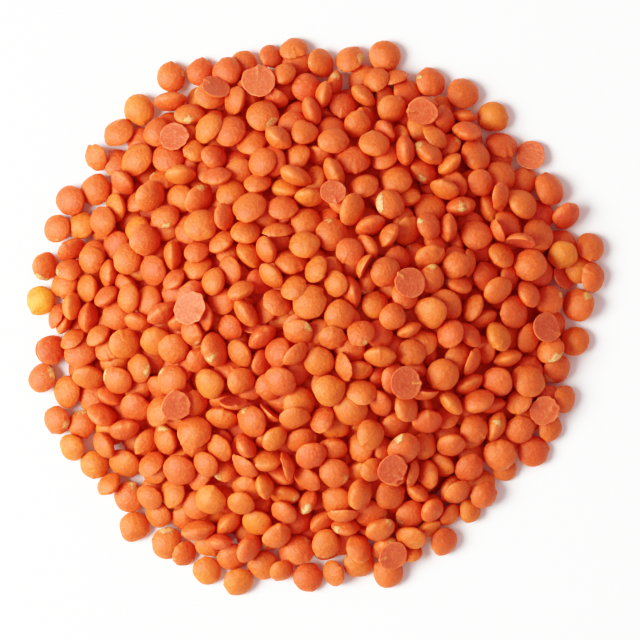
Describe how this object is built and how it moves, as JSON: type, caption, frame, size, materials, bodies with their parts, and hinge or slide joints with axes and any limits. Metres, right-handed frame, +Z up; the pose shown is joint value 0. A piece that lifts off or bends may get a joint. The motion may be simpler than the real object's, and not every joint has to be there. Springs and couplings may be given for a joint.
{
  "type": "heap of dry red lentils",
  "caption": "Low round heap of loose dry red lentils, whole and split, lying on a flat base with no dish.",
  "frame": {"origin": "middle of the heap's box, on the surface that the heap lies on", "axes": "+Z up through the crown, +X to the picture's right, +Y to the picture's top"},
  "size_m": [0.086, 0.0824, 0.017],
  "materials": {
    "dry_lentil": "matte, faintly mottled dry seed, orange with paler rims and flecks of pale husk"
  },
  "bodies": {
    "root": {"lentil_heap": "dry_lentil"}
  },
  "joints": []
}
